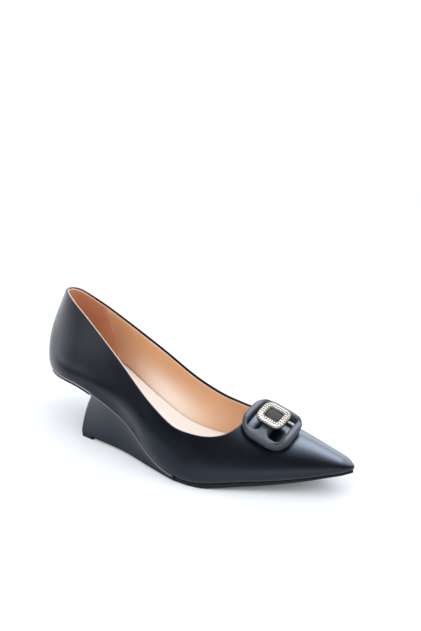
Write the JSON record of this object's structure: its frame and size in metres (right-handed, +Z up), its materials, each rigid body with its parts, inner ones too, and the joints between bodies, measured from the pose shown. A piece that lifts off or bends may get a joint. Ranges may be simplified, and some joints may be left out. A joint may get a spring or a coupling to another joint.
{
  "type": "wedge shoe",
  "caption": "Right pointed court shoe in smooth black leather on a cut-away wedge heel, with a soft frame and a stone-set plaque on the vamp.",
  "frame": {"origin": "centre of the box around the shoe, on the floor", "axes": "+X from the heel to the toe, +Y to the inner side of the foot, +Z up"},
  "size_m": [0.2598, 0.079, 0.1095],
  "materials": {
    "upper_leather": "smooth black leather with a satin sheen",
    "insole_leather": "smooth tan sock leather",
    "sole_rubber": "matte black moulded rubber",
    "wedge_leather": "black leather cover with a satin sheen",
    "lift_rubber": "matte black rubber",
    "seat_leather": "black leather cover",
    "tab_leather": "smooth black leather",
    "frame_rubber": "soft matte charcoal rubber",
    "plaque_metal": "bright metal set with small clear stones"
  },
  "bodies": {
    "root": {"upper": "upper_leather", "insole": "insole_leather", "outsole": "sole_rubber", "wedge_heel": "wedge_leather", "top_lift": "lift_rubber", "heel_seat": "seat_leather", "heel_tab": "tab_leather", "ornament_frame": "frame_rubber", "ornament_plaque": "plaque_metal"}
  },
  "joints": []
}
